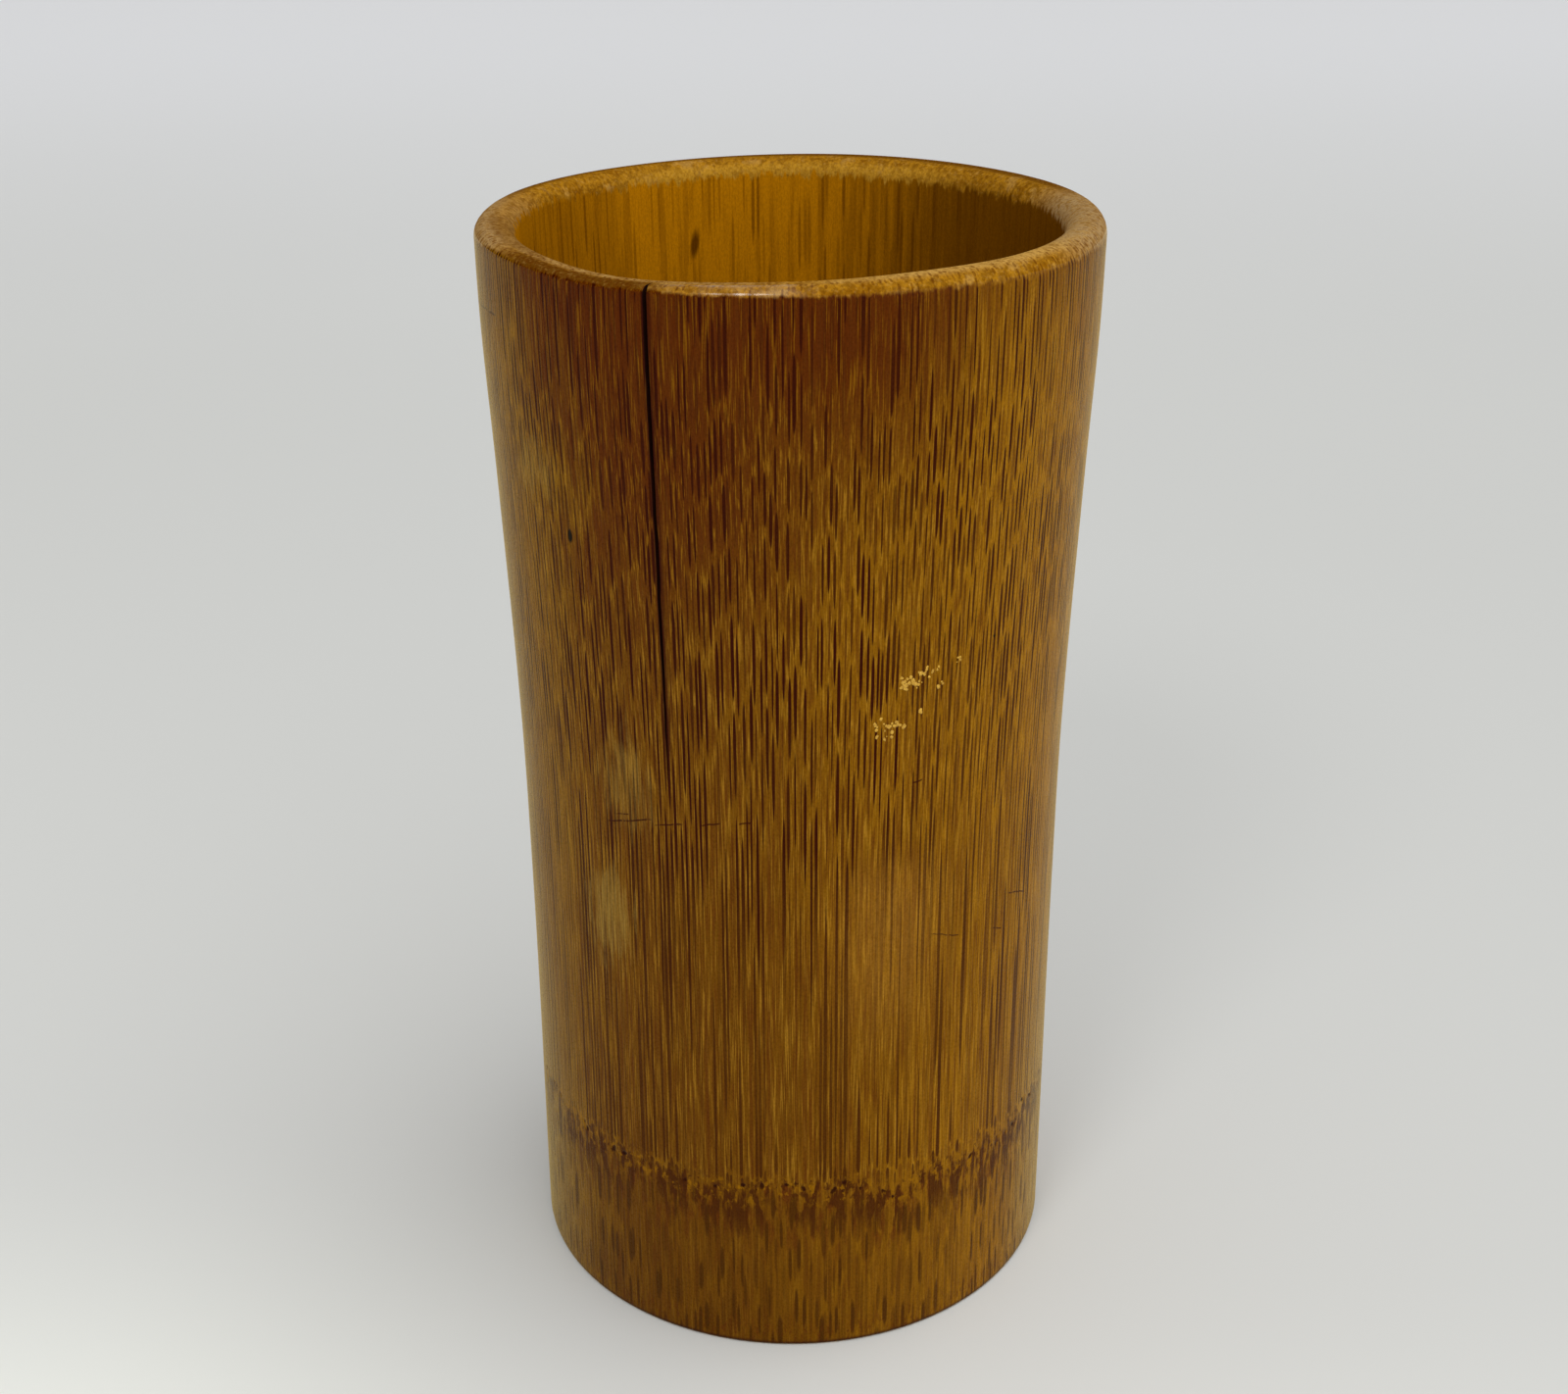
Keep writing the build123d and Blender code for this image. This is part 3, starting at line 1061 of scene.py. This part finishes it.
def bamboo_finish(colours, name, gloss, sheen):
    """The wall's finish: dark bundles in golden wood, a rubbed lip, a sanded scar and a plain bore."""
    material, shader, place = new_material(name)
    where = use_group("Cup Places", place)
    lip = attribute(place, "lip")
    depth = attribute(place, "below_rim")
    grain = SimpleNamespace(
        zigzag=noise(place, 0.8, 12, seed=1),
        broad=noise(place, 15, 30, seed=2),
        strips=noise(place, 1.3, 26, detail=3, seed=3.5),
        fine=noise(place, 0.17, 7, detail=1, seed=4),
        grit=noise(place, 0.25, 0.4, seed=6),
        dashes=noise(place, 0.75, 5, seed=11),
        patches=noise(place, 3.4, 3.4, detail=4, roughness=0.65, seed=14),
    )
    wood, fibres = outer_wood(place, colours, where, grain)
    wood = scar_wood(place, colours, wood, where, grain)
    wood, scratched = marked_wood(place, colours, wood, grain)

    inner_side = ramp(where.out, 40.7, 40.2)
    frayed = (grain.zigzag - 0.5) * 0.75
    narrow = near_around(where, -32, 12, 24) * 0.3 + ramp(abs(where.around), 64, 40, 0, 0.22)
    frost = ramp(lip + frayed - narrow, -0.08, 0.26)
    worn_lip = lip_wood(place, colours, where, fibres, grain, lip, depth)
    wood = blend(most(frost, inner_side), wood, worn_lip)
    teeth = noise(place, 0.7, 300, detail=3, roughness=0.6, seed=21)
    edge = depth + (teeth - 0.5) * 5 + near_around(where, -68, 12, 30) * 0.7
    hollow = inner_side * ramp(edge, 2.2, 2.9)
    wood = blend(hollow, wood, bore_wood(place, colours, where, grain))

    raw = hollow * ramp(where.height, 36, 30)
    wood = blend(raw, wood, colours.flesh)
    cut_end = blend(fibres.streak * 0.7, colours.flesh, colours.streak)
    wood = blend(ramp(where.height, 0.35, 0.05), wood, cut_end)
    shade = ramp(grain.grit, 0.3, 0.7, 0.86, 1.1)
    grey = add_node(place.tree, "ShaderNodeCombineColor", {0: shade, 1: shade, 2: shade})[0]
    plug(blend(1, wood, grey, "MULTIPLY"), shader["Base Color"])

    plug(ramp(grain.grit, 0.3, 0.7, 0.26, 0.34) + raw * 0.4, shader["Roughness"])
    plug(gloss, shader["Specular IOR Level"])
    polished = near_around(where, -6, 5, 11) * ramp(where.out, 41.4, 42)
    plug(frost * polished * ramp(grain.patches, 0.44, 0.56, 0.1, 0.8), shader["Coat Weight"])
    plug(0.16, shader["Coat Roughness"])
    plug(sheen, shader["Sheen Weight"])
    plug(0.24, shader["Sheen Roughness"])
    plug((1, 0.7, 0.08), shader["Sheen Tint"])
    relief = grain.fine * 0.5 - fibres.streak - scratched + grain.patches * frost * 2
    add_bump(shader, relief, 0.035, 0.6)
    return material


def split_side(colours):
    """The sides of the drying split: painted shade, near black with a faint dark mottle."""
    material, shader, place = new_material("split_side")
    split_mottle = noise(place, 0.3, 2, detail=3)
    # Painted shade: near black, darker than any wood, for the shade in the narrow gap.
    dark = toned(colours.streak, 0.35)
    plug(blend(ramp(split_mottle, 0.35, 0.7, 0, 0.6), dark, colours.streak), shader["Base Color"])
    plug(ramp(split_mottle, 0.3, 0.7, 0.75, 0.95), shader["Roughness"])
    plug(0.1, shader["Specular IOR Level"])
    return material


def bare_septum(colours):
    """The papery septum, with fine rings, radial veins and old stains."""
    material, shader, place = new_material("bare_septum")
    where = use_group("Cup Places", place)
    veins = noise(place, 1.6, 1.6, detail=4, roughness=0.6)
    rings = maths("SINE", where.out * 2.2 + veins * 9)
    stain = noise(place, 11, 11, detail=3, seed=3)
    speck = noise(place, 0.5, 0.5, seed=4)
    skin = blend(ramp(rings, -1, 1, 0, 0.22), colours.septum, colours.bore_streak)
    skin = blend(ramp(stain, 0.45, 0.7, 0, 0.5), skin, colours.bore_streak)
    skin = blend(ramp(where.out, 29, 35, 0, 0.75), skin, colours.bore)
    skin = blend(ramp(speck, 0.64, 0.74, 0, 0.6), skin, colours.streak)
    plug(skin, shader["Base Color"])
    plug(ramp(speck, 0.3, 0.7, 0.62, 0.8), shader["Roughness"])
    add_bump(shader, rings * 0.25 + veins * 1.4, 0.12, 0.5)
    return material


def dried_crust(colours):
    """Pale yellow crumbs, rough and uneven."""
    material, shader, place = new_material("dried_crust")
    mottle = noise(place, 0.25, 0.25, detail=3)
    crust = blend(ramp(mottle, 0.35, 0.65, 0, 0.7), colours.fleck, colours.golden_wood)
    plug(crust, shader["Base Color"])
    plug(ramp(mottle, 0.3, 0.7, 0.55, 0.75), shader["Roughness"])
    add_bump(shader, mottle, 0.08, 0.6)
    return material


def stage_floor_material(colour):
    """A plain pale floor with painted light: a little lighter towards the camera, on its left and far off.
    """
    material, shader, place = new_material("pale_floor")
    sheet = blend(ramp(noise(place, 500, 500, detail=1), 0.3, 0.7), colour, toned(colour, 0.98))
    x, y, _ = add_node(place.tree, "ShaderNodeSeparateXYZ", {0: place})
    # Painted light: lighter and a little bluer far off, lighter towards the camera, and lighter still on
    # the near left, where it weakens the cup's shadow.
    sheet = blend(ramp(y, 0.3, 1.6), sheet, toned(colour, 1.16, 1.16, 1.22))
    sheet = blend(ramp(y, -0.02, -0.13), sheet, toned(colour, 1.2, 1.2, 1.18))
    left = ramp(y, 0.02, -0.1) * ramp(x, -0.02, -0.11)
    plug(blend(left, sheet, toned(colour, 1.36, 1.37, 1.32)), shader["Base Color"])
    plug(0.6, shader["Roughness"])
    plug(0.3, shader["Specular IOR Level"])
    return material


# Pieces

class CUP_OT_wall(bpy.types.Operator):
    """Turns the cup's wall, wears its lip, sinks the scar and cuts the drying split"""

    bl_idname = "cup.wall"
    bl_label = "Cup Wall"

    def execute(self, context):
        wall = context.scene.cup_wall
        scar = context.scene.cup_scar
        colours = context.scene.cup_bamboo
        pits = scar_pits(scar)
        radii, heights = wall_outline(wall, scar, np.array([0.0]))
        piece = drawn_profile("turned_wall", list(zip(radii[:, 0].tolist(), heights[:, 0].tolist())))
        close_profile(piece)
        spin_profile(wall.steps)
        shape_by_hand(piece, wall, scar)
        sink_scar(piece, wall, scar, pits)
        piece.data.materials.append(bamboo_finish(colours, "turned_bamboo", 0.035, 0.42))
        cutter = split_cutter(wall, context.scene.cup_split)
        cutter.data.materials.append(split_side(colours))
        cut_split(piece, cutter)
        mark_wall(piece, wall, scar, pits)
        wear_off_varnish(piece, wall, bamboo_finish(colours, "worn_bamboo", 0, 0))
        smooth_piece(piece, 38)
        finish_piece(piece, "turned_bamboo", "culm_wall")
        return {"FINISHED"}


class CUP_OT_floor(bpy.types.Operator):
    """Models the septum that is the cup's floor, dished, flared into the wall and faintly wrinkled"""

    bl_idname = "cup.floor"
    bl_label = "Cup Floor"

    def execute(self, context):
        floor = context.scene.cup_floor
        wall = context.scene.cup_wall
        piece = drawn_profile("septum_floor", floor_outline(floor, wall, 60))
        spin_profile(192)
        places = read_places(piece)
        radius, direction = round_axis(places)
        share = np.clip(radius / wall.seat_radius, 0, 1)
        folds = np.sin(13 * direction + 9 * share) + 0.6 * np.sin(29 * direction - 14 * share)
        folds += 0.8 * np.sin(40 * share + 1.5 * np.sin(3 * direction))
        calm = share * (1 - share) * 4
        places[:, 2] += floor.wrinkle * 0.4 * folds * calm
        hollow = 0.8 * MM * bump(radius, 2.2 * MM)
        places[:, 2] += np.where(places[:, 2] > (FLOOR_LOW.z + FLOOR_HIGH.z) / 2, -hollow, 0)
        write_places(piece, places)
        piece.data.materials.append(bare_septum(context.scene.cup_bamboo))
        smooth_piece(piece, 50)
        finish_piece(piece, "bare_septum", "node_floor")
        return {"FINISHED"}


# Middles of the crumbs' clusters, in degrees and millimetres: direction, height, spread and number
CLUSTERS = (
    (-68.3, 109.2, 1.3, 24),
    (-66.6, 108.9, 0.7, 6),
    (-64.8, 110.4, 1.4, 8),
    (-62.6, 110.6, 0.5, 4),
    (-57.9, 111.4, 0.6, 5),
    (-61.2, 108.2, 0.5, 3),
    (-65.3, 104.6, 0.5, 3),
    (-72.4, 103.0, 1.4, 15),
    (-70.2, 103.4, 1.2, 7),
)


class CUP_OT_flecks(bpy.types.Operator):
    """Scatters the pale crumbs that have dried on the front of the cup"""

    bl_idname = "cup.flecks"
    bl_label = "Dried Flecks"

    def execute(self, context):
        flecks = context.scene.cup_flecks
        draw = random.Random(19)
        crumbs = []
        for degrees, height, spread, number in CLUSTERS:
            for _ in range(number):
                up = height * MM + draw.gauss(0, spread * 0.5) * MM
                radius = float(outside_radius(context.scene.cup_wall, up))
                direction = math.radians(degrees) + draw.gauss(0, spread * 0.5) * MM / radius
                size = flecks.crumb * draw.uniform(0.35, 1.0)
                deselect_all()
                bpy.ops.mesh.primitive_ico_sphere_add(subdivisions=2, radius=0.5)
                crumb = bpy.context.object
                bpy.ops.object.mode_set(mode="EDIT")
                bpy.ops.transform.vertex_random(offset=0.22, seed=draw.randint(0, 9999))
                bpy.ops.object.mode_set(mode="OBJECT")
                outward, sideways = facing(direction)
                upward = Vector((0, 0, 1))
                thin = min(flecks.thickness, size * 0.5)
                tall = size * draw.uniform(0.7, 1.5)
                turn = Matrix.Rotation(draw.uniform(-0.6, 0.6), 4, outward)
                axes = Matrix((sideways * size, outward * thin, upward * tall)).transposed().to_4x4()
                spot = outward * radius + upward * up
                crumb.data.transform(Matrix.Translation(spot) @ turn @ axes)
                crumbs.append(crumb)
        deselect_all()
        for crumb in crumbs:
            crumb.select_set(True)
        bpy.context.view_layer.objects.active = crumbs[0]
        bpy.ops.object.join()
        piece = bpy.context.object
        piece.name = piece.data.name = "dried_flecks"
        edit_all()
        face_outwards()
        piece.data.materials.append(dried_crust(context.scene.cup_bamboo))
        smooth_piece(piece, 60)
        finish_piece(piece, "turned_bamboo")
        return {"FINISHED"}


def add_lamp(kind, name, place, strength):
    """Adds a light that shines at the foot of the cup."""
    bpy.ops.object.light_add(type=kind, location=place)
    light = bpy.context.object
    light.name = name
    light.data.energy = strength
    light.rotation_mode = "QUATERNION"
    light.rotation_quaternion = (-light.location).to_track_quat("-Z", "Y")
    return light.data


class CUP_OT_stage(bpy.types.Operator):
    """Sets the pale floor, the soft lamps, the light all round and the camera"""

    bl_idname = "cup.stage"
    bl_label = "Stage"

    def execute(self, context):
        settings = context.scene.cup_stage
        deselect_all()
        bpy.ops.mesh.primitive_circle_add(vertices=96, radius=6, fill_type="NGON", location=(0, 0, 0))
        floor = bpy.context.object
        floor.name = "stage_floor"
        floor.data.materials.append(stage_floor_material(settings.floor_colour))

        world = bpy.data.worlds.new("soft_light")
        context.scene.world = world
        world.use_nodes = True
        background = world.node_tree.nodes["Background"]
        background.inputs["Color"].default_value = (1, 1, 1, 1)
        background.inputs["Strength"].default_value = settings.world_strength

        window = add_lamp("SUN", "window_light", (0.8, -0.4, 0.75), settings.window_strength)
        window.angle = settings.window_softness
        lamp = add_lamp("AREA", "lamp_over_camera", (-0.14, -0.36, 0.5), settings.lamp_power)
        lamp.shape = "DISK"
        lamp.size = 0.16

        bpy.ops.object.camera_add(location=(0, -settings.camera_distance, settings.camera_height))
        camera = bpy.context.object
        camera.name = "photo_camera"
        camera.data.sensor_fit = "HORIZONTAL"
        camera.data.sensor_width = 36
        camera.data.lens = settings.lens
        camera.data.clip_start = 0.01
        camera.data.clip_end = 20
        camera.data.shift_x = settings.camera_shift
        pitch = Matrix.Rotation(math.pi / 2 - settings.camera_pitch, 3, "X")
        roll = Matrix.Rotation(settings.camera_roll, 3, "Z")
        camera.rotation_euler = (pitch @ roll).to_euler()
        context.scene.camera = camera
        context.scene.view_settings.view_transform = "Standard"
        return {"FINISHED"}


class CUP_PT_panel(bpy.types.Panel):
    """Lists the cup's pieces and their sizes"""

    bl_idname = "CUP_PT_panel"
    bl_label = "Bamboo Cup"
    bl_space_type = "VIEW_3D"
    bl_region_type = "UI"
    bl_category = "Bamboo Cup"

    def draw(self, context):
        for operator in (CUP_OT_wall, CUP_OT_floor, CUP_OT_flecks, CUP_OT_stage):
            self.layout.operator(operator.bl_idname)
        for name, group in SETTINGS.items():
            box = self.layout.box()
            for setting in group.__annotations__:
                box.prop(getattr(context.scene, name), setting)


CLASSES = (*SETTINGS.values(), CUP_OT_wall, CUP_OT_floor, CUP_OT_flecks, CUP_OT_stage, CUP_PT_panel)


def register():
    for cls in CLASSES:
        bpy.utils.register_class(cls)
    for name, group in SETTINGS.items():
        setattr(bpy.types.Scene, name, PointerProperty(type=group))


def unregister():
    for name in SETTINGS:
        delattr(bpy.types.Scene, name)
    for cls in reversed(CLASSES):
        bpy.utils.unregister_class(cls)


def main():
    register()
    places_group()
    bundles_group()
    spot_group()
    scratch_group()
    bpy.ops.cup.wall()
    bpy.ops.cup.floor()
    bpy.ops.cup.flecks()
    bpy.ops.cup.stage()


if __name__ == "__main__":
    main()
